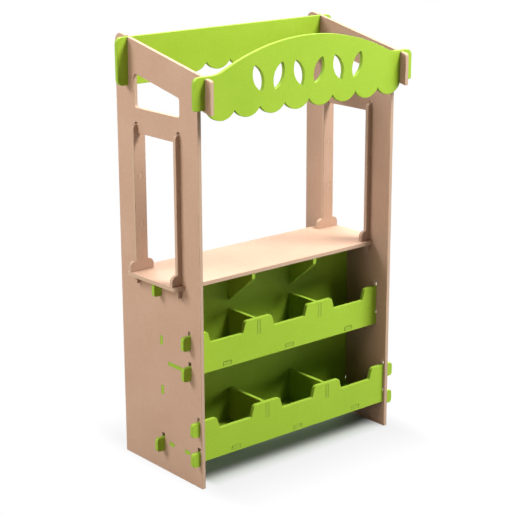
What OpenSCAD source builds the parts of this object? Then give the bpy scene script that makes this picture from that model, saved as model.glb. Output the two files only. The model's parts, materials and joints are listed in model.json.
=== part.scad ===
// Toy market stall: flat boards slotted together without screws or glue.
// Millimetres, +Z up, front towards -Y, origin at the middle of the floor under the stall.

/* [Boards] */
// Thickness of every board
board_t = 10; // [9:0.5:11]
// Play on each side of a tongue in its slot
fit_gap = 0.3; // [0.2:0.05:0.4]

/* [Side panels] */
// Width over the outer faces of the side panels
stall_w = 620; // [600:5:680]
// Depth of a side panel from its front edge to its rear edge
panel_d = 314; // [308:2:330]
// Reach of the nose in front of the front edge
nose_reach = 48; // [44:1:56]
// Height of the sloping top edge over the front edge
front_h = 1004; // [990:2:1030]
// Slope of the top edge in degrees
roof_slope = 12; // [9:0.5:14]
// Upright height of the sloping top rail
top_rail_h = 77; // [72:1:84]
// Width of the front upright
front_stile_w = 67; // [62:1:72]
// Width of the rear upright
rear_stile_w = 72; // [66:1:76]
// Upright height of the upper opening at its front end
opening_h = 45; // [38:1:52]
// Upright height of the rail over the window
mid_rail_h = 60; // [52:1:66]
// Corner radius of the upper opening
opening_r = 8; // [4:1:12]
// Radius of the rear top corner
rear_corner_r = 20; // [10:1:26]
// Radius of the nose's top corner
nose_r = 6; // [3:1:9]

/* [Counter] */
// Height of the counter's top face
counter_h = 498; // [490:1:510]
// Reach of the counter in front of the windows
counter_lip = 11; // [9:0.5:14]
// Reach of the counter behind the windows
counter_tail = 23; // [18:1:28]
// Reach of the ears behind the windows
ear_tail = 10; // [8:1:14]
// Reach of the ears beyond the posts' feet
ear_margin = 1; // [0:0.5:4]
// Corner radius of the ears
ear_r = 12; // [6:1:16]

/* [Window posts] */
// Width of a post
post_w = 34; // [32:1:38]
// Reach of its foot beyond each side of the post
foot_flare = 17; // [12:1:20]
// Flat step between the post and the foot's rounded shoulder
foot_step = 2; // [1:0.5:6]
// Height of its foot
foot_h = 26; // [22:1:32]
// Radius of the post's top corners
post_r = 10; // [4:1:14]
// Rise of the post above the window's top edge
post_rise = 21; // [16:1:24]
// Room above the post in its notch
post_room = 5; // [3:1:8]
// Drop of the pegs below the counter
peg_drop = 21; // [16:1:26]
// Stand-off of a peg from the panel
peg_gap = 2; // [1:0.5:3]
// Height of a tongue on the window's upright edges
tongue_h = 12; // [10:1:14]
// Places of the tongues' top edges, as shares of the window's height
tongue_places = [0.36, 0.71];

/* [Hooks] */
// Upright size of a hook's neck in its slot
neck_h = 26; // [22:1:30]
// Drop of a hook below its neck
hook_drop = 9; // [6:1:12]
// Reach of a hook outside the panel
hook_reach = 22; // [18:1:26]
// Radius of a hook's outer corners
hook_r = 8; // [4:1:10]
// Radius of a hook's inner lower corner
hook_heel_r = 4; // [1:0.5:5]
// Step between a tray front's top edge and its upper hooks
hook_step = 1; // [0.5:0.5:4]
// Room left above a neck when its hook is lifted clear
hook_room = 1.5; // [0.3:0.1:3]

/* [Mid panel] */
// Distance of the mid panel from the panels' front edge
mid_setback = 149; // [144:1:154]
// Height of the mid panel's lower edge
mid_low = 62; // [58:1:64]
// Upright size of its side tongues
mid_tongue_h = 22; // [18:1:28]
// Places of its side tongues' lower edges, as shares of its height
mid_tongue_places = [0.325, 0.625];

/* [Trays] */
// Upright size of a tray front
tray_h = 103.5; // [98:0.5:110]
// Space between the upper tray front's top and the counter's underside
tray_space = 108; // [100:0.5:116]
// Height of the lower tray front's lower edge above the mid panel's
lower_tray_lift = 5.5; // [4:0.5:12]
// Distance of the upper tray front from the panels' front edge
upper_setback = 37.5; // [32:0.5:42]
// Distance of the lower tray front from the panels' front edge
lower_setback = 6; // [4:0.5:12]
// Width at the bottom of a dip in a tray front
dip_w = 100; // [90:1:110]
// Depth of a dip
dip_h = 29.5; // [24:0.5:34]
// Sideways run of a dip's slanted side
dip_run = 9; // [6:1:14]
// Radius of the dip's upper corners
dip_r = 9; // [4:1:11]
// Radius of the dip's lower corners
dip_low_r = 3; // [1:0.5:6]
// Height of a tray floor above the front's lower edge
floor_lift = 4.5; // [3:0.5:10]
// Width of a floor tongue in the tray front and the mid panel
floor_tongue_w = 24; // [18:1:32]
// Play beside and above a floor tongue in its slot
floor_tongue_gap = 1; // [0.3:0.1:1.4]
// Places and lengths of the upper floor's side tongues, as shares of its depth
upper_floor_tongues = [[0.27, 0.53]];
// Places and lengths of the lower floor's side tongues, as shares of its depth
lower_floor_tongues = [[0.235, 0.15], [0.705, 0.15]];
// Upright size of a divider's tongues
divider_tongue_h = 36; // [28:1:40]
// Distance of a divider's tongues below the tray front's top
divider_tongue_drop = 6; // [5:0.5:10]
// Drop of a divider's top edge below the tray front's top
divider_drop = 3; // [0:0.5:5]

/* [Counter brackets] */
// Upright size of a bracket's front edge
bracket_nose = 15; // [10:1:22]
// Set-back of a bracket from the counter's front edge
bracket_inset = 1; // [0:0.5:4]
// Space between a bracket's lowest point and the upper tray's top
bracket_space = 19.5; // [12:0.5:26]
// Radius between a bracket's front edge and its slanted edge
bracket_r = 8; // [2:1:12]
// Upright size of a bracket's tongue
bracket_tongue_h = 36; // [24:1:40]

/* [Front sign] */
// Distance of the sign's face in front of the panels' front edge
sign_reach = 29; // [26:0.5:31]
// Number of scallops between the panels
scallops = 8; // [8, 10, 12]
// Depth of a scallop
scallop_h = 20.5; // [16:0.5:24]
// Rise of the sign's flat ends above the nose
sign_end_rise = 3; // [0:0.5:6]
// Height of the sign from its scallops to its flat ends
sign_h = 104.5; // [100:0.5:110]
// Rise of the sign's crown above its flat ends
crown_rise = 65.5; // [56:0.5:76]
// Distance of the crown's ends from the panels
crown_inset = 11; // [6:1:20]
// Radius of the hollow at each end of the crown
hollow_r = 80; // [60:2:90]
// Reach of the end tabs outside the panels
tab_reach = 30; // [26:1:36]
// Radius of the end tabs' corners
tab_r = 16; // [8:1:18]
// Upright size of the end tabs
tab_h = 75; // [70:1:80]
// Number of leaf openings in the sign
leaves = 6; // [4:1:7]
// Spacing of the leaf openings
leaf_pitch = 62; // [56:1:66]
// Length of a leaf opening
leaf_l = 66; // [50:1:70]
// Width of a leaf opening
leaf_w = 30; // [20:1:34]
// Lean of a leaf opening in degrees
leaf_lean = 20; // [0:1:25]
// Distance of the leaf openings' middle below the flat ends
leaf_drop = 20; // [14:1:26]

/* [Rear valance] */
// Distance of the valance's face from the panels' rear edge
valance_inset = 50.5; // [46:0.5:56]
// Upright size of the valance's ends
valance_h = 114; // [106:1:122]
// Rise of its scallops' lowest points above the ends' lower edge
valance_rise = 10.5; // [6:0.5:14]
// Radius of the ends' inner lower corners
valance_r = 24; // [12:1:28]

/* [Hidden] */
$fn = 96;
eps = 1;
natural = [0.80, 0.67, 0.54];
green = [0.68, 0.83, 0.27];
x_out = stall_w / 2;
x_in = x_out - board_t;
x_mid = x_out - board_t / 2;
x_body = x_in - fit_gap;
foot_w = post_w + 2 * foot_flare;
foot_r = foot_flare - foot_step;
x_ear = x_mid + foot_w / 2 + ear_margin;
x_hook = x_out + fit_gap + hook_reach;
x_tab = x_out + tab_reach;
y_front = (nose_reach - panel_d) / 2;
y_back = y_front + panel_d;
y_nose = y_front - nose_reach;
y_win0 = y_front + front_stile_w;
y_win1 = y_back - rear_stile_w;
y_post0 = y_win0 + fit_gap;
y_post1 = y_win1 - fit_gap - board_t;
y_counter0 = y_win0 - counter_lip;
y_counter1 = y_win1 + counter_tail;
y_ear1 = y_win1 + ear_tail;
y_mid = y_front + mid_setback;
y_upper = y_front + upper_setback;
y_lower = y_front + lower_setback;
y_sign = y_front - sign_reach;
y_valance = y_back - valance_inset;
sill_z = counter_h - board_t;
opening_z = roof_z(y_win0) - top_rail_h - opening_h;
window_top_h = opening_z - mid_rail_h;
tongue_tops = [for (k = tongue_places) counter_h + k * (window_top_h - counter_h)];
post_top = window_top_h + post_rise;
notch_top = post_top + post_room;
peg0 = board_t / 2 + peg_gap;
peg1 = post_w / 2;
bin_pitch = 2 * x_in / 3;
bins = [-bin_pitch, 0, bin_pitch];
walls = [-bin_pitch / 2, bin_pitch / 2];
hook_slot_h = neck_h + hook_drop + hook_room;
tray_hooks = [0, tray_h - neck_h - hook_step];
divider_tongue_z = tray_h - divider_tongue_h - divider_tongue_drop;
mid_hooks = [mid_low, sill_z - neck_h];
mid_tongues = [for (k = mid_tongue_places) mid_low + k * (sill_z - mid_low)];
upper_tray_z = sill_z - tray_space - tray_h;
lower_tray_z = mid_low + lower_tray_lift;
bracket_h = tray_space - bracket_space;
bracket_tongue_z = sill_z - (bracket_h + bracket_tongue_h) / 2;
upper_tongues = floor_spans(upper_floor_tongues, y_upper);
lower_tongues = floor_spans(lower_floor_tongues, y_lower);
scallop_pitch = 2 * x_in / scallops;
scallop_r = (pow(scallop_h, 2) + pow(scallop_pitch / 2, 2)) / (2 * scallop_h);
nose_top_z = roof_z(y_sign + board_t / 2);
sign_lap_z = nose_top_z - top_rail_h / 2;
sign_end_z = nose_top_z + sign_end_rise;
scallop_z = sign_end_z - sign_h;
tab_z = sign_end_z - tab_h;
leaf_z = sign_end_z - leaf_drop;
crown_z = sign_end_z + crown_rise;
hollow_x = x_in - crown_inset;
crown_r = (pow(hollow_x, 2) + pow(crown_rise, 2)) / (2 * crown_rise) - hollow_r;
crown_mid_z = crown_z - crown_r;
hollow_z = sign_end_z + hollow_r;
valance_top = roof_z(y_valance);
valance_low = valance_top - valance_h;
valance_scallop_z = valance_low + valance_rise;
valance_lap_z = valance_top - valance_h / 2;
hollow_k = crown_r / (crown_r + hollow_r);
hollow_join_z = crown_mid_z + (hollow_z - crown_mid_z) * hollow_k;
leaf_r = (pow(leaf_l, 2) + pow(leaf_w, 2)) / (4 * leaf_w);

// Height of the sloping top edge at depth y
function roof_z(y) = front_h + (y - y_front) * tan(roof_slope);

// Start and length of each tongue along a tray floor behind a front at y
function floor_spans(places, y) =
  let (depth = y_mid - y - board_t)
  [for (q = places) [y + board_t + q[0] * depth, q[1] * depth]];

function unit(v) = v / norm(v);

function flat(q) = [q[0], q[1]];

// First tangent point, second tangent point and centre of the round at corner i
function round_at(p, i) =
  let (
    n = len(p),
    b = flat(p[i]),
    u = unit(flat(p[(i + n - 1) % n]) - b),
    v = unit(flat(p[(i + 1) % n]) - b),
    half = acos(u * v) / 2,
    r = p[i][2]
  )
  [b + u * r / tan(half), b + v * r / tan(half), b + unit(u + v) * r / sin(half)];

// Positive where corner i of an anticlockwise outline points outwards
function turn_at(p, i) =
  let (
    n = len(p),
    b = flat(p[i]),
    u = b - flat(p[(i + n - 1) % n]),
    v = flat(p[(i + 1) % n]) - b
  )
  u[0] * v[1] - u[1] * v[0];

// Closed anticlockwise outline from points [x, y, corner radius]
module outline(p) {
  last = len(p) - 1;
  difference() {
    union() {
      polygon([for (i = [0:last]) each
        p[i][2] > 0 ? [round_at(p, i)[0], round_at(p, i)[1]] : [flat(p[i])]]);
      for (i = [0:last])
        if (p[i][2] > 0 && turn_at(p, i) > 0)
          translate(round_at(p, i)[2]) circle(r = p[i][2]);
    }
    for (i = [0:last])
      if (p[i][2] > 0 && turn_at(p, i) < 0)
        translate(round_at(p, i)[2]) circle(r = p[i][2]);
  }
}

// Rectangle from one corner to the opposite one
module span(a, b) {
  translate(a) square(b - a);
}

// Board standing across the stall, its profile drawn in X and Z
module across(y) {
  translate([0, y + board_t, 0]) rotate([90, 0, 0]) linear_extrude(board_t) children();
}

// Board standing along the stall's depth, its profile drawn in Y and Z
module along(x) {
  translate([x, 0, 0]) rotate([90, 0, 90]) linear_extrude(board_t) children();
}

// Board lying flat, its profile drawn in X and Y
module lying(z) {
  translate([0, 0, z]) linear_extrude(board_t) children();
}

// The same profile on both sides of the middle
module both_sides() {
  children();
  mirror([1, 0, 0]) children();
}

// Slot for a board's edge, open by the play on both faces
module edge_slot(y, z0, z1) {
  span([y - fit_gap, z0], [y + board_t + fit_gap, z1]);
}

// Neck and hook at the right-hand end of a board, z at the neck's lower edge
module hook(z) {
  outline([
    [x_body - eps, z, 0],
    [x_out + fit_gap, z, 0],
    [x_out + fit_gap, z - hook_drop, hook_heel_r],
    [x_hook, z - hook_drop, hook_r],
    [x_hook, z + neck_h, hook_r],
    [x_body - eps, z + neck_h, 0]
  ]);
}

// Window outline with the tongues that hold the posts
module window() {
  difference() {
    union() {
      span([y_win0, sill_z], [y_win1, window_top_h]);
      span([y_win0, window_top_h - eps], [y_post0 + board_t + fit_gap, notch_top]);
      span([y_post1 - fit_gap, window_top_h - eps], [y_win1, notch_top]);
    }
    for (z = tongue_tops) {
      span([y_win0 - eps, z - tongue_h], [y_post0 + board_t, z]);
      span([y_post1, z - tongue_h], [y_win1 + eps, z]);
    }
  }
}

// Slots for the two hooks of a tray front
module tray_slots(y, z) {
  for (h = tray_hooks)
    edge_slot(y, z + h, z + h + hook_slot_h);
}

// Slots for the side tongues of a tray floor
module floor_slots(tongues, z) {
  for (q = tongues)
    span([q[0] - fit_gap, z], [q[0] + q[1] + fit_gap, z + board_t + fit_gap]);
}

module side_profile() {
  difference() {
    outline([
      [y_front, 0, 0],
      [y_back, 0, 0],
      [y_back, roof_z(y_back), rear_corner_r],
      [y_nose, roof_z(y_nose), nose_r],
      [y_nose, roof_z(y_nose) - top_rail_h, 0],
      [y_front, roof_z(y_front) - top_rail_h, 0]
    ]);
    outline([
      [y_win0, opening_z, opening_r],
      [y_win1, opening_z, opening_r],
      [y_win1, roof_z(y_win1) - top_rail_h, opening_r],
      [y_win0, roof_z(y_win0) - top_rail_h, opening_r]
    ]);
    window();
    edge_slot(y_sign, sign_lap_z, roof_z(y_back));
    edge_slot(y_valance, valance_lap_z, roof_z(y_back));
    edge_slot(y_mid, mid_hooks[1], sill_z + eps);
    edge_slot(y_mid, mid_hooks[0], mid_hooks[0] + hook_slot_h);
    for (z = mid_tongues)
      edge_slot(y_mid, z, z + mid_tongue_h + fit_gap);
    tray_slots(y_upper, upper_tray_z);
    tray_slots(y_lower, lower_tray_z);
    floor_slots(upper_tongues, upper_tray_z + floor_lift);
    floor_slots(lower_tongues, lower_tray_z + floor_lift);
  }
}

module side_panel_left() {
  color(natural) along(-x_out) side_profile();
}

module side_panel_right() {
  color(natural) along(x_in) side_profile();
}

// Half of the counter to the right of the middle, with its ear and peg slots
module counter_half() {
  difference() {
    union() {
      span([-eps, y_counter0], [x_body, y_counter1]);
      span([x_body - eps, y_win0 + fit_gap], [x_out + 2 * eps, y_win1 - fit_gap]);
      outline([
        [x_out + fit_gap, y_counter0, 0],
        [x_ear, y_counter0, ear_r],
        [x_ear, y_ear1, ear_r],
        [x_out + fit_gap, y_ear1, 0]
      ]);
    }
    for (y = [y_post0, y_post1])
      for (x = [x_mid - peg1, x_mid + peg0])
        span([x - fit_gap, y - fit_gap], [x + peg1 - peg0 + fit_gap, y + board_t + fit_gap]);
  }
}

module counter() {
  color(natural) lying(sill_z) both_sides() counter_half();
}

module mid_panel() {
  color(green) across(y_mid)
    difference() {
      union() {
        span([-x_body, mid_low], [x_body, sill_z]);
        for (z = mid_tongues)
          span([-x_out, z], [x_out, z + mid_tongue_h]);
        both_sides()
          for (z = mid_hooks)
            hook(z);
      }
      for (z = [upper_tray_z, lower_tray_z]) {
        floor_tongue_slots(z);
        divider_slots(z + divider_tongue_z, divider_tongue_h);
      }
      divider_slots(bracket_tongue_z, bracket_tongue_h);
    }
}

// Slots for the tongues at the front or back edge of a tray floor
module floor_tongue_slots(z) {
  for (x = bins)
    span([x - floor_tongue_w / 2 - floor_tongue_gap, z + floor_lift],
         [x + floor_tongue_w / 2 + floor_tongue_gap, z + floor_lift + board_t + floor_tongue_gap]);
}

// Slots for the tongues of the two boards standing along the depth
module divider_slots(z, h) {
  for (x = walls)
    span([x - board_t / 2 - fit_gap, z], [x + board_t / 2 + fit_gap, z + h + fit_gap]);
}

module tray_front(y, z) {
  top = z + tray_h;
  across(y)
    difference() {
      union() {
        outline([
          [-x_body, z, 0],
          [x_body, z, 0],
          [x_body, top, 0],
          for (x = [bins[2], bins[1], bins[0]]) each [
            [x + dip_w / 2 + dip_run, top, dip_r],
            [x + dip_w / 2, top - dip_h, dip_low_r],
            [x - dip_w / 2, top - dip_h, dip_low_r],
            [x - dip_w / 2 - dip_run, top, dip_r]
          ],
          [-x_body, top, 0]
        ]);
        both_sides()
          for (h = tray_hooks)
            hook(z + h);
      }
      floor_tongue_slots(z);
      divider_slots(z + divider_tongue_z, divider_tongue_h);
    }
}

module upper_tray_front() {
  color(green) tray_front(y_upper, upper_tray_z);
}

module lower_tray_front() {
  color(green) tray_front(y_lower, lower_tray_z);
}

module tray_floor(y, z, tongues) {
  lying(z + floor_lift) {
    span([-x_body, y + board_t], [x_body, y_mid]);
    for (x = bins)
      span([x - floor_tongue_w / 2, y], [x + floor_tongue_w / 2, y_mid + board_t]);
    for (q = tongues)
      span([-x_out, q[0]], [x_out, q[0] + q[1]]);
  }
}

module upper_tray_floor() {
  color(green) tray_floor(y_upper, upper_tray_z, upper_tongues);
}

module lower_tray_floor() {
  color(green) tray_floor(y_lower, lower_tray_z, lower_tongues);
}

module divider(x, y, z) {
  z_tongue = z + divider_tongue_z;
  along(x - board_t / 2) {
    span([y + board_t, z + floor_lift + board_t], [y_mid, z + tray_h - divider_drop]);
    span([y, z_tongue], [y_mid + board_t, z_tongue + divider_tongue_h]);
  }
}

module upper_divider_left() {
  color(green) divider(walls[0], y_upper, upper_tray_z);
}

module upper_divider_right() {
  color(green) divider(walls[1], y_upper, upper_tray_z);
}

module lower_divider_left() {
  color(green) divider(walls[0], y_lower, lower_tray_z);
}

module lower_divider_right() {
  color(green) divider(walls[1], y_lower, lower_tray_z);
}

module counter_bracket(x) {
  along(x - board_t / 2) {
    outline([
      [y_counter0 + bracket_inset, sill_z, 0],
      [y_counter0 + bracket_inset, sill_z - bracket_nose, bracket_r],
      [y_mid, sill_z - bracket_h, 0],
      [y_mid, sill_z, 0]
    ]);
    span([y_mid - eps, bracket_tongue_z], [y_mid + board_t, bracket_tongue_z + bracket_tongue_h]);
  }
}

module counter_bracket_left() {
  color(green) counter_bracket(walls[0]);
}

module counter_bracket_right() {
  color(green) counter_bracket(walls[1]);
}

// Row of scallops with their lowest points at z, reaching up to z_top
module scallop_row(count, z, z_top) {
  half = count * scallop_pitch / 2;
  intersection() {
    for (i = [0:count - 1])
      translate([(i + 0.5) * scallop_pitch - half, z + scallop_r]) circle(r = scallop_r);
    span([-half, z - eps], [half, z_top]);
  }
}

// Upright cuts that let a crossing board drop over the side panels
module lap_slits(z) {
  both_sides()
    span([x_in - fit_gap, 0], [x_out + fit_gap, z]);
}

// Leaf-shaped opening standing upright at the origin
module leaf() {
  intersection() {
    translate([leaf_w / 2 - leaf_r, 0]) circle(r = leaf_r);
    translate([leaf_r - leaf_w / 2, 0]) circle(r = leaf_r);
  }
}

module front_sign() {
  color(green) across(y_sign)
    difference() {
      union() {
        outline([
          [-x_tab, tab_z, tab_r / 3],
          [x_tab, tab_z, tab_r / 3],
          [x_tab, sign_end_z, tab_r],
          [-x_tab, sign_end_z, tab_r]
        ]);
        scallop_row(scallops, scallop_z, tab_z + eps);
        intersection() {
          translate([0, crown_mid_z]) circle(r = crown_r, $fn = 360);
          span([-hollow_x, tab_z + eps], [hollow_x, crown_z + eps]);
        }
        polygon([
          [-hollow_x, sign_end_z - eps],
          [hollow_x, sign_end_z - eps],
          [hollow_x, sign_end_z],
          [hollow_x * hollow_k, hollow_join_z],
          [-hollow_x * hollow_k, hollow_join_z],
          [-hollow_x, sign_end_z]
        ]);
      }
      both_sides()
        translate([hollow_x, hollow_z]) circle(r = hollow_r);
      lap_slits(sign_lap_z);
      for (i = [0:leaves - 1])
        translate([(i - (leaves - 1) / 2) * leaf_pitch, leaf_z])
          rotate(i % 2 == 0 ? leaf_lean : -leaf_lean) leaf();
    }
}

module rear_valance() {
  x_end = scallop_pitch * (scallops / 2 - 1);
  z_cusp = valance_scallop_z + scallop_h;
  color(green) across(y_valance)
    difference() {
      union() {
        span([-x_end - eps, z_cusp + eps], [x_end + eps, valance_top]);
        scallop_row(scallops - 2, valance_scallop_z, z_cusp + 2 * eps);
        both_sides()
          outline([
            [x_end, valance_low, valance_r],
            [x_tab, valance_low, tab_r],
            [x_tab, valance_top, tab_r],
            [x_end, valance_top, 0]
          ]);
      }
      lap_slits(valance_lap_z);
    }
}

// Window post on the panel at x, its thickness starting at y
module post(x, y) {
  foot_top = counter_h + foot_h;
  peg_z = sill_z - peg_drop;
  translate([x, 0, 0]) across(y)
    difference() {
      union() {
        intersection() {
          outline([
            [-foot_w / 2, counter_h, 0],
            [foot_w / 2, counter_h, 0],
            [foot_w / 2, foot_top, foot_r],
            [peg1, foot_top, 0],
            [peg1, post_top, post_r],
            [-peg1, post_top, post_r],
            [-peg1, foot_top, 0],
            [-foot_w / 2, foot_top, foot_r]
          ]);
          span([-foot_w, counter_h], [foot_w, post_top + eps]);
        }
        span([-peg1, peg_z], [peg1, counter_h + eps]);
      }
      span([-peg0, peg_z - eps], [peg0, counter_h]);
      for (z = tongue_tops)
        span([-board_t / 2 - fit_gap, z - tongue_h - fit_gap],
             [board_t / 2 + fit_gap, z + fit_gap]);
    }
}

module post_left_front() {
  color(natural) post(-x_mid, y_post0);
}

module post_left_rear() {
  color(natural) post(-x_mid, y_post1);
}

module post_right_front() {
  color(natural) post(x_mid, y_post0);
}

module post_right_rear() {
  color(natural) post(x_mid, y_post1);
}

side_panel_left();
side_panel_right();
counter();
mid_panel();
front_sign();
rear_valance();
post_left_front();
post_left_rear();
post_right_front();
post_right_rear();
upper_tray_front();
lower_tray_front();
upper_tray_floor();
lower_tray_floor();
upper_divider_left();
upper_divider_right();
lower_divider_left();
lower_divider_right();
counter_bracket_left();
counter_bracket_right();
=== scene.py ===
import json
import math

import bmesh
import bpy
from mathutils import Matrix, Vector


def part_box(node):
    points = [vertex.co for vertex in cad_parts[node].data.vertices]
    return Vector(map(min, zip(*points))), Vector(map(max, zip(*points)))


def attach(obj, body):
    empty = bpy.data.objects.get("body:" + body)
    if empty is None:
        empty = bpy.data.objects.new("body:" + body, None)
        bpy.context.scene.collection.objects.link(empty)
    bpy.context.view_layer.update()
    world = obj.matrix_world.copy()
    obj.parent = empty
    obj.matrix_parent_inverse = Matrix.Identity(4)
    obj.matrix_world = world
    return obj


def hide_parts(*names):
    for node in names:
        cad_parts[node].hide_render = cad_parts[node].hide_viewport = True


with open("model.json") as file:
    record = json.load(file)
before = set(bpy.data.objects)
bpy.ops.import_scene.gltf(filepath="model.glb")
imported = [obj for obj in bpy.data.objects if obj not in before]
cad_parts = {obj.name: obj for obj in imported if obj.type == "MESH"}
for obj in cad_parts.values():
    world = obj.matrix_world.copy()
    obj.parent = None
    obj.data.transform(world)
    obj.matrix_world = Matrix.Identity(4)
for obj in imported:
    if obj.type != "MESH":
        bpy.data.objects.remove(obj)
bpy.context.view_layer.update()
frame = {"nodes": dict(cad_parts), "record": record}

scene = bpy.context.scene
scene.view_settings.view_transform = "Standard"
bodyOf = {name: body for body, names in frame["record"]["behaviour"]["bodies"].items() for name in names}
weld = 0.000002


# helpers for node trees
def feed(tree, socket, value):
    if isinstance(value, bpy.types.NodeSocket):
        tree.links.new(value, socket)
    else:
        socket.default_value = value


def place(tree, kind, inputs=None, **settings):
    made = tree.nodes.new(kind)
    for key, value in settings.items():
        setattr(made, key, value)
    for key, value in (inputs or {}).items():
        feed(tree, made.inputs[key], value)
    return made


def calc(tree, operation, a, b=0.0, c=0.0, clamp=False):
    return place(tree, "ShaderNodeMath", {0: a, 1: b, 2: c}, operation=operation, use_clamp=clamp).outputs[0]


def vectorCalc(tree, operation, a, b=(0.0, 0.0, 0.0)):
    made = place(tree, "ShaderNodeVectorMath", {0: a, 1: b}, operation=operation)
    return made.outputs["Value" if operation == "DOT_PRODUCT" else "Vector"]


def stretch(tree, vector, amount):
    return place(tree, "ShaderNodeVectorMath", {0: vector, "Scale": amount}, operation="SCALE").outputs["Vector"]


def ramp(tree, value, low, high, toLow=0.0, toHigh=1.0):
    sockets = {"Value": value, "From Min": low, "From Max": high, "To Min": toLow, "To Max": toHigh}
    return place(tree, "ShaderNodeMapRange", sockets).outputs["Result"]


def blendColour(tree, amount, under, over, how="MIX"):
    made = place(tree, "ShaderNodeMix", {0: amount, 6: under, 7: over}, data_type="RGBA", blend_type=how)
    return made.outputs[2]


# 1 for rays that should meet the white surroundings, 0 for rays that carry light to the object
def seenPlainly(tree):
    path = place(tree, "ShaderNodeLightPath").outputs
    seen = calc(tree, "ADD", path["Is Camera Ray"], path["Is Glossy Ray"], clamp=True)
    return path, calc(tree, "ADD", seen, path["Is Transmission Ray"], clamp=True)


def newTree(kind, name, inputs, outputs):
    tree = bpy.data.node_groups.new(name, kind)
    for side, sockets in (("INPUT", inputs), ("OUTPUT", outputs)):
        for label, socketKind in sockets.items():
            tree.interface.new_socket(name=label, in_out=side, socket_type="NodeSocket" + socketKind)
    return tree, tree.nodes.new("NodeGroupInput").outputs, tree.nodes.new("NodeGroupOutput").inputs


def paint(red, green, blue):
    shares = [level / 255 for level in (red, green, blue)]
    return tuple(s / 12.92 if s <= 0.04045 else ((s + 0.055) / 1.055) ** 2.4 for s in shares) + (1.0,)


# camera at the photograph's viewing angle
cameraPlan = {"lens": 104.9, "at": (-2.334, -2.753, 1.547), "yaw": -40.0, "pitch": -16.28, "roll": -0.17}

lens = bpy.data.cameras.new("camera")
lens.sensor_width = 36.0
lens.lens = cameraPlan["lens"]
lens.clip_end = 60.0
camera = bpy.data.objects.new("camera", lens)
turns = (("Z", cameraPlan["yaw"]), ("X", 90 + cameraPlan["pitch"]), ("Z", cameraPlan["roll"]))
facing = Matrix.Identity(4)
for axis, angle in turns:
    facing = facing @ Matrix.Rotation(math.radians(angle), 4, axis)
camera.matrix_world = Matrix.Translation(cameraPlan["at"]) @ facing
scene.collection.objects.link(camera)
scene.camera = camera
print("camera set")


# pressed wood fibre: clouds, short fibres lying every way, and loose flecks
def fibreGroup():
    tree, given, result = newTree(
        "ShaderNodeTree", "pressedFibre",
        {"At": "Vector", "Tone": "Float", "Fibre Scale": "Float", "Fleck Scale": "Float"},
        {"Cloud": "Float", "Fibre": "Float", "Fleck": "Float"})
    # the tone moves each board to its own place in the noise
    shifted = calc(tree, "MULTIPLY", given["Tone"], 37.0)
    cloud = place(tree, "ShaderNodeTexNoise", {"Vector": given["At"], "W": shifted, "Scale": 9.0, "Detail": 4.0},
                  noise_dimensions="4D").outputs[0]
    feed(tree, result["Cloud"], ramp(tree, cloud, 0.3, 0.7))
    strands, slim = None, 0.16
    for lie in ((slim, 1.0, 1.0), (1.0, slim, 1.0), (1.0, 1.0, slim)):
        along = vectorCalc(tree, "MULTIPLY", given["At"], lie)
        strand = place(tree, "ShaderNodeTexNoise",
                       {"Vector": along, "W": shifted, "Scale": given["Fibre Scale"], "Detail": 2.0, "Distortion": 0.6},
                       noise_dimensions="4D").outputs[0]
        strands = strand if strands is None else calc(tree, "MAXIMUM", strands, strand)
    feed(tree, result["Fibre"], ramp(tree, strands, 0.45, 0.75))
    cells = place(tree, "ShaderNodeTexVoronoi",
                  {"Vector": given["At"], "W": shifted, "Scale": given["Fleck Scale"]}, voronoi_dimensions="4D")
    chosen = place(tree, "ShaderNodeSeparateColor", {0: cells.outputs["Color"]}).outputs[0]
    spot = ramp(tree, cells.outputs["Distance"], 0.12, 0.26, 1.0, 0.0)
    feed(tree, result["Fleck"], calc(tree, "MULTIPLY", spot, ramp(tree, chosen, 0.55, 0.9)))
    return tree


# rubbed places along the eased edges
def rubbedGroup():
    tree, given, result = newTree(
        "ShaderNodeTree", "rubbedEdge",
        {"At": "Vector", "Rim": "Float", "Amount": "Float"}, {"Rubbed": "Float"})
    patches = place(tree, "ShaderNodeTexNoise", {"Vector": given["At"], "Scale": 38.0, "Detail": 5.0}).outputs[0]
    patchy = ramp(tree, patches, 0.38, 0.66)
    feed(tree, result["Rubbed"],
         calc(tree, "MULTIPLY", calc(tree, "MULTIPLY", patchy, given["Rim"]), given["Amount"], clamp=True))
    return tree


pressedFibre = fibreGroup()
rubbedEdge = rubbedGroup()

# one dictionary for each finish: colours as they show on a screen in plain light, and how far the colour that bounce
# light sees is darkened as painted shade in the bays
naturalFinish = {
    "name": "naturalBoard",
    "pale": paint(219, 183, 158), "deep": paint(203, 163, 136), "fleck": paint(170, 128, 98),
    "skin": paint(204, 168, 138), "core": paint(216, 185, 158), "rubbed": paint(226, 198, 175),
    "fibreScale": 420.0, "fleckScale": 190.0, "fleckShare": 0.55, "rub": 0.5,
    "bounceShade": 0.35, "smooth": 0.5, "rough": 0.62, "shine": 0.2, "bump": 0.16,
}
greenFinish = {
    "name": "greenBoard",
    "pale": paint(183, 219, 68), "deep": paint(168, 206, 52), "fleck": paint(194, 227, 96),
    "skin": paint(158, 195, 54), "core": paint(166, 202, 66), "rubbed": paint(188, 218, 104),
    "fibreScale": 380.0, "fleckScale": 170.0, "fleckShare": 0.5, "rub": 0.45,
    "bounceShade": 0.78, "smooth": 0.4, "rough": 0.52, "shine": 0.2, "bump": 0.10,
}


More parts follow.
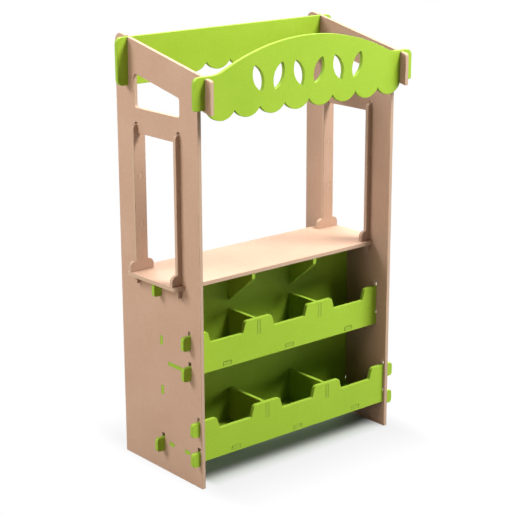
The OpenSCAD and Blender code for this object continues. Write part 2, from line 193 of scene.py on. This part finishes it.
def boardMaterial(finish):
    material = bpy.data.materials.new(finish["name"])
    material.use_nodes = True
    tree = material.node_tree
    shader = tree.nodes["Principled BSDF"]
    at = place(tree, "ShaderNodeTexCoord").outputs["Object"]
    marks = {label: place(tree, "ShaderNodeAttribute", attribute_name=label).outputs["Fac"]
             for label in ("tone", "cut", "rim", "through")}
    fibre = place(tree, "ShaderNodeGroup", node_tree=pressedFibre)
    for label, value in (("At", at), ("Tone", marks["tone"]), ("Fibre Scale", finish["fibreScale"]),
                         ("Fleck Scale", finish["fleckScale"])):
        feed(tree, fibre.inputs[label], value)
    rubbed = place(tree, "ShaderNodeGroup", node_tree=rubbedEdge)
    for label, value in (("At", at), ("Rim", marks["rim"]), ("Amount", finish["rub"])):
        feed(tree, rubbed.inputs[label], value)
    weave = calc(tree, "MULTIPLY_ADD", fibre.outputs["Cloud"], 0.45,
                 calc(tree, "MULTIPLY", fibre.outputs["Fibre"], 0.55))
    face = blendColour(tree, weave, finish["deep"], finish["pale"])
    # the cut edge is dense and dark at both skins, and pale and open in the core
    middle = calc(tree, "ABSOLUTE", calc(tree, "SUBTRACT", marks["through"], 0.5))
    edge = blendColour(tree, ramp(tree, middle, 0.12, 0.46), finish["core"], finish["skin"])
    edge = blendColour(tree, calc(tree, "MULTIPLY", fibre.outputs["Fibre"], 0.35), edge, finish["pale"])
    colour = blendColour(tree, marks["cut"], face, edge)
    colour = blendColour(tree, calc(tree, "MULTIPLY", fibre.outputs["Fleck"], finish["fleckShare"]),
                         colour, finish["fleck"])
    colour = blendColour(tree, rubbed.outputs["Rubbed"], colour, finish["rubbed"])
    shade = place(tree, "ShaderNodeHueSaturation",
                  {"Value": ramp(tree, marks["tone"], 0.0, 1.0, 0.96, 1.04), "Color": colour}).outputs["Color"]
    # painted shade: the colour that bounce light sees is darkened towards black, so boards hand on less light to one
    # another than their colour would, which keeps the bays deep
    bounceRay = place(tree, "ShaderNodeLightPath").outputs["Is Diffuse Ray"]
    shade = blendColour(tree, calc(tree, "MULTIPLY", bounceRay, finish["bounceShade"]), shade, (0.0, 0.0, 0.0, 1.0))
    feed(tree, shader.inputs["Base Color"], shade)
    shader.inputs["Specular IOR Level"].default_value = finish["shine"]
    dull = calc(tree, "ADD", ramp(tree, fibre.outputs["Cloud"], 0.0, 1.0, finish["smooth"], finish["rough"]),
                calc(tree, "MULTIPLY", marks["cut"], 0.18))
    feed(tree, shader.inputs["Roughness"], dull)
    height = calc(tree, "MULTIPLY_ADD", fibre.outputs["Fleck"], -0.5, fibre.outputs["Fibre"])
    bump = place(tree, "ShaderNodeBump", {"Height": height, "Strength": finish["bump"], "Distance": 0.0004})
    feed(tree, shader.inputs["Normal"], bump.outputs["Normal"])
    return material


finishes = {"natural": (boardMaterial(naturalFinish), "natural_board"),
            "green": (boardMaterial(greenFinish), "green_board")}
print("finishes made:", ", ".join(finishes))


# a flat profile becomes a board of one thickness with its sharp edges eased all round
def easedBoardTree():
    tree, given, result = newTree(
        "GeometryNodeTree", "easedBoard",
        {"Profile": "Geometry", "Thickness": "Float", "Ease": "Float", "Through": "Vector", "Start": "Float",
         "Tone": "Float", "Finish": "Material"},
        {"Board": "Geometry"})
    faceCount = place(tree, "GeometryNodeInputMeshEdgeNeighbors").outputs["Face Count"]
    outer = place(tree, "GeometryNodeFieldOnDomain", {0: calc(tree, "COMPARE", faceCount, 1.0, 0.1)},
                  data_type="BOOLEAN", domain="EDGE").outputs[0]
    faceNormal = place(tree, "GeometryNodeFieldOnDomain", {0: place(tree, "GeometryNodeInputNormal").outputs[0]},
                       data_type="FLOAT_VECTOR", domain="FACE").outputs[0]
    position = place(tree, "GeometryNodeInputPosition").outputs[0]
    # walls stood on the profile show which way each of its corners points
    stood = place(tree, "GeometryNodeExtrudeMesh",
                  {"Mesh": given["Profile"], "Selection": outer, "Offset": given["Through"],
                   "Offset Scale": given["Thickness"]}, mode="EDGES")
    walls = place(tree, "GeometryNodeSeparateGeometry", {0: stood.outputs["Mesh"], 1: stood.outputs["Side"]},
                  domain="FACE").outputs[0]
    lengthSquared = vectorCalc(tree, "DOT_PRODUCT", faceNormal, faceNormal)
    mitre = stretch(tree, faceNormal, calc(tree, "DIVIDE", 1.0, lengthSquared))
    nearest = place(tree, "GeometryNodeSampleNearest", {0: walls, 1: position}, domain="POINT").outputs[0]
    sampled = place(tree, "GeometryNodeSampleIndex", {"Geometry": walls, "Value": mitre, "Index": nearest},
                    data_type="FLOAT_VECTOR", domain="POINT").outputs[0]
    marked = place(tree, "GeometryNodeStoreNamedAttribute",
                   {"Geometry": given["Profile"], "Name": "mitre", "Value": sampled},
                   data_type="FLOAT_VECTOR", domain="POINT").outputs[0]
    mitre = place(tree, "GeometryNodeInputNamedAttribute", {"Name": "mitre"}, data_type="FLOAT_VECTOR").outputs[0]
    backed = stretch(tree, mitre, calc(tree, "MULTIPLY", given["Ease"], -1.0))
    face = place(tree, "GeometryNodeSetPosition", {"Geometry": marked, "Selection": outer, "Offset": backed}).outputs[0]
    half = math.sqrt(0.5)
    wallHeight = calc(tree, "MULTIPLY_ADD", given["Ease"], -2.0, given["Thickness"])
    # each step: rise as a share of the ease, and how far the edge moves outwards
    steps = ((1 - half, half), (half, 1 - half), (None, 0.0), (half, half - 1), (1 - half, -half))
    body, picked = face, outer
    for rise, swell in steps:
        height = wallHeight if rise is None else calc(tree, "MULTIPLY", given["Ease"], rise)
        raised = place(tree, "GeometryNodeExtrudeMesh",
                       {"Mesh": body, "Selection": picked, "Offset": given["Through"], "Offset Scale": height},
                       mode="EDGES")
        picked = raised.outputs["Top"]
        moved = stretch(tree, mitre, calc(tree, "MULTIPLY", given["Ease"], swell))
        body = place(tree, "GeometryNodeSetPosition",
                     {"Geometry": raised.outputs["Mesh"], "Selection": picked, "Offset": moved}).outputs[0]
    lid = place(tree, "GeometryNodeSetPosition",
                {"Geometry": face, "Offset": stretch(tree, given["Through"], given["Thickness"])}).outputs[0]
    lid = place(tree, "GeometryNodeFlipFaces", {0: lid}).outputs[0]
    joined = tree.nodes.new("GeometryNodeJoinGeometry")
    for part in (lid, body):
        tree.links.new(part, joined.inputs[0])
    closed = place(tree, "GeometryNodeMergeByDistance",
                   {"Geometry": joined.outputs[0], "Distance": weld}).outputs[0]
    closed = place(tree, "GeometryNodeRemoveAttribute", {"Geometry": closed, "Name": "mitre"}).outputs[0]
    # marks that the finishes read
    flatness = calc(tree, "ABSOLUTE", vectorCalc(tree, "DOT_PRODUCT", faceNormal, given["Through"]))
    depth = calc(tree, "SUBTRACT", vectorCalc(tree, "DOT_PRODUCT", position, given["Through"]), given["Start"])
    sides = calc(tree, "MULTIPLY", calc(tree, "GREATER_THAN", flatness, 0.1), calc(tree, "LESS_THAN", flatness, 0.98))
    for name, value, domain in (("cut", ramp(tree, flatness, 0.2, 0.98, 1.0, 0.0), "FACE"), ("rim", sides, "FACE"),
                                ("through", calc(tree, "DIVIDE", depth, given["Thickness"]), "POINT"),
                                ("tone", given["Tone"], "POINT")):
        closed = place(tree, "GeometryNodeStoreNamedAttribute", {"Geometry": closed, "Name": name, "Value": value},
                       data_type="FLOAT", domain=domain).outputs[0]
    bend = place(tree, "GeometryNodeInputMeshEdgeAngle").outputs["Unsigned Angle"]
    sharpFrom = math.radians(20)
    closed = place(tree, "GeometryNodeStoreNamedAttribute",
                   {"Geometry": closed, "Name": "sharp_edge", "Value": calc(tree, "GREATER_THAN", bend, sharpFrom)},
                   data_type="BOOLEAN", domain="EDGE").outputs[0]
    smooth = place(tree, "GeometryNodeSetShadeSmooth", {"Geometry": closed}).outputs[0]
    realized = place(tree, "GeometryNodeRealizeInstances", {"Geometry": smooth}).outputs[0]
    finished = place(tree, "GeometryNodeSetMaterial", {"Geometry": realized, "Material": given["Finish"]}).outputs[0]
    feed(tree, result["Board"], finished)
    return tree


easedBoard = easedBoardTree()
across = {"X": Vector((1, 0, 0)), "Y": Vector((0, 1, 0)), "Z": Vector((0, 0, 1))}


# the low flat face of a packed board, as its own mesh
def flatProfile(name, through):
    flat = bmesh.new()
    flat.from_mesh(frame["nodes"][name].data)
    bmesh.ops.remove_doubles(flat, verts=flat.verts, dist=weld)
    flat.normal_update()
    others = [face for face in flat.faces if face.normal.dot(through) > -0.999]
    bmesh.ops.delete(flat, geom=others, context="FACES")
    profile = bpy.data.meshes.new(name + "_profile")
    flat.to_mesh(profile)
    flat.free()
    return profile


def makeBoard(name, plan, tone):
    through = across[plan["axis"]]
    low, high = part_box(name)
    material, slot = finishes[plan["finish"]]
    piece = bpy.data.objects.new(name + "_board", flatProfile(name, through))
    scene.collection.objects.link(piece)
    maker = piece.modifiers.new("easedBoard", "NODES")
    maker.node_group = easedBoard
    values = {"Thickness": (high - low).dot(through), "Ease": plan["ease"], "Through": through,
              "Start": low.dot(through), "Tone": tone, "Finish": material}
    for item in easedBoard.interface.items_tree:
        if item.in_out == "INPUT" and item.name in values:
            maker[item.identifier] = values[item.name]
    made = bpy.data.meshes.new_from_object(piece.evaluated_get(bpy.context.evaluated_depsgraph_get()))
    profile = piece.data
    piece.modifiers.remove(maker)
    piece.data = made
    made.name = name + "_board"
    bpy.data.meshes.remove(profile)
    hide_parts(name)
    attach(piece, bodyOf[name])
    return piece


# one dictionary for each kind of board
sidePanels = {"boards": ["side_panel_left", "side_panel_right"], "axis": "X", "ease": 0.0005, "finish": "natural"}
counterTop = {"boards": ["counter"], "axis": "Z", "ease": 0.0008, "finish": "natural"}
windowPosts = {"boards": ["post_left_front", "post_left_rear", "post_right_front", "post_right_rear"],
               "axis": "Y", "ease": 0.0008, "finish": "natural"}
midPanel = {"boards": ["mid_panel"], "axis": "Y", "ease": 0.0007, "finish": "green"}
frontSign = {"boards": ["front_sign"], "axis": "Y", "ease": 0.0007, "finish": "green"}
rearValance = {"boards": ["rear_valance"], "axis": "Y", "ease": 0.0007, "finish": "green"}
trayFronts = {"boards": ["upper_tray_front", "lower_tray_front"], "axis": "Y", "ease": 0.0007, "finish": "green"}
trayFloors = {"boards": ["upper_tray_floor", "lower_tray_floor"], "axis": "Z", "ease": 0.0005, "finish": "green"}
dividers = {"boards": ["upper_divider_left", "upper_divider_right", "lower_divider_left", "lower_divider_right"],
            "axis": "X", "ease": 0.0005, "finish": "green"}
brackets = {"boards": ["counter_bracket_left", "counter_bracket_right"], "axis": "X", "ease": 0.0005,
            "finish": "green"}

# each board's tone steps on by the golden share, so that neighbours differ
toneStep = 0.618
count = 0
for plan in (sidePanels, counterTop, windowPosts, midPanel, frontSign, rearValance, trayFronts, trayFloors,
             dividers, brackets):
    for name in plan["boards"]:
        count += 1
        board = makeBoard(name, plan, (count * toneStep) % 1.0)
        print("board", board.name, len(board.data.polygons), "faces")


# floor that takes the shadow close by, in a dark grey-green near the stall as painted shade and painted green bounce
# light, and fades into the white around it
floorPlan = {"size": 14.0, "level": -0.0002, "seen": (0.235, 0.315, 0.185), "bounce": (0.22, 0.22, 0.22),
             "middle": (0.02, 0.04), "footprint": (0.28, 0.093), "fade": (0.03, 0.10), "lift": 0.01,
             "tail": 2.5, "near": 0.89}


def makeFloor(plan):
    half = plan["size"] / 2
    mesh = bpy.data.meshes.new("floor")
    corners = [(x * half, y * half, plan["level"]) for x, y in ((-1, -1), (1, -1), (1, 1), (-1, 1))]
    mesh.from_pydata(corners, [], [(0, 1, 2, 3)])
    floor = bpy.data.objects.new("floor", mesh)
    scene.collection.objects.link(floor)
    material = bpy.data.materials.new("paleFloor")
    material.use_nodes = True
    tree = material.node_tree
    tree.nodes.remove(tree.nodes["Principled BSDF"])
    path, seen = seenPlainly(tree)
    # painted shade and green bounce: the camera sees the floor in a dark grey-green, which darkens its real shadow by
    # the stall and tints it green
    grounds = [place(tree, "ShaderNodeBsdfDiffuse", {"Color": plan[which] + (1.0,)}).outputs[0]
               for which in ("bounce", "seen")]
    ground = place(tree, "ShaderNodeMixShader", {0: path["Is Camera Ray"], 1: grounds[0], 2: grounds[1]}).outputs[0]
    at = place(tree, "ShaderNodeTexCoord").outputs["Object"]
    beyond = vectorCalc(tree, "ABSOLUTE", vectorCalc(tree, "SUBTRACT", at, plan["middle"] + (0.0,)))
    beyond = vectorCalc(tree, "SUBTRACT", beyond, plan["footprint"] + (0.0,))
    beyond = vectorCalc(tree, "MAXIMUM", beyond, (0.0, 0.0, 0.0))
    beyond = vectorCalc(tree, "DIVIDE", beyond, plan["fade"] + (1.0,))
    away = place(tree, "ShaderNodeVectorMath", {0: beyond}, operation="LENGTH").outputs["Value"]
    glow = ramp(tree, away, 1.0, plan["tail"], plan["near"], 1.0)
    white = place(tree, "ShaderNodeEmission", {"Color": (1.0, 1.0, 1.0, 1.0), "Strength": glow}).outputs[0]
    fade = place(tree, "ShaderNodeMapRange",
                 {"Value": away, "From Max": 1.0, "To Min": plan["lift"], "To Max": 1.0},
                 interpolation_type="SMOOTHSTEP").outputs["Result"]
    mixed = place(tree, "ShaderNodeMixShader", {0: calc(tree, "MULTIPLY", fade, seen), 1: ground, 2: white}).outputs[0]
    feed(tree, tree.nodes["Material Output"].inputs["Surface"], mixed)
    mesh.materials.append(material)


makeFloor(floorPlan)
print("floor laid")

# soft studio light
studio = {
    "ambient": 0.04, "aim": (0.0, 0.0, 0.55),
    "lamps": {
        "keySoftbox": {"at": (1.70, -2.03, 4.19), "size": (1.7, 1.7), "power": 272.0, "colour": (1.0, 1.0, 1.0)},
        "fillSoftbox": {"at": (3.86, -2.23, 1.18), "size": (1.8, 1.8), "power": 42.0, "colour": (1.0, 1.0, 1.0)},
        "roofSoftbox": {"at": (0.65, 1.79, 4.63), "size": (1.8, 1.8), "power": 90.0, "colour": (1.0, 1.0, 1.0)},
        "sideSoftbox": {"at": (1.98, 0.72, 4.52), "size": (1.8, 1.8), "power": 48.0, "colour": (1.0, 1.0, 1.0)},
        "leftSoftbox": {"at": (-4.43, -0.47, 1.18), "size": (0.9, 1.8), "power": 48.0, "colour": (1.0, 0.92, 0.72)},
        "rearSoftbox": {"at": (-3.19, 1.84, 3.13), "size": (1.8, 1.8), "power": 112.0, "colour": (0.98, 1.0, 1.07)},
        "backSoftbox": {"at": (1.08, 4.03, 2.24), "size": (1.8, 1.8), "power": 90.0, "colour": (1.0, 1.0, 1.0)},
    },
}


def makeStudio(plan):
    world = bpy.data.worlds.new("studio")
    world.use_nodes = True
    tree = world.node_tree
    seen = seenPlainly(tree)[1]
    strength = place(tree, "ShaderNodeMapRange", {"Value": seen, "To Min": plan["ambient"], "To Max": 1.0}).outputs[0]
    background = tree.nodes["Background"]
    background.inputs["Color"].default_value = (1.0, 1.0, 1.0, 1.0)
    feed(tree, background.inputs["Strength"], strength)
    scene.world = world
    for name, lamp in plan["lamps"].items():
        light = bpy.data.lights.new(name, "AREA")
        light.shape = "RECTANGLE"
        light.size, light.size_y = lamp["size"]
        light.energy = lamp["power"]
        light.color = lamp["colour"]
        stand = bpy.data.objects.new(name, light)
        stand.location = lamp["at"]
        stand.rotation_euler = (Vector(plan["aim"]) - Vector(lamp["at"])).to_track_quat("-Z", "Y").to_euler()
        stand.visible_camera = False
        scene.collection.objects.link(stand)


makeStudio(studio)
print("studio lit with", len(studio["lamps"]), "lamps")
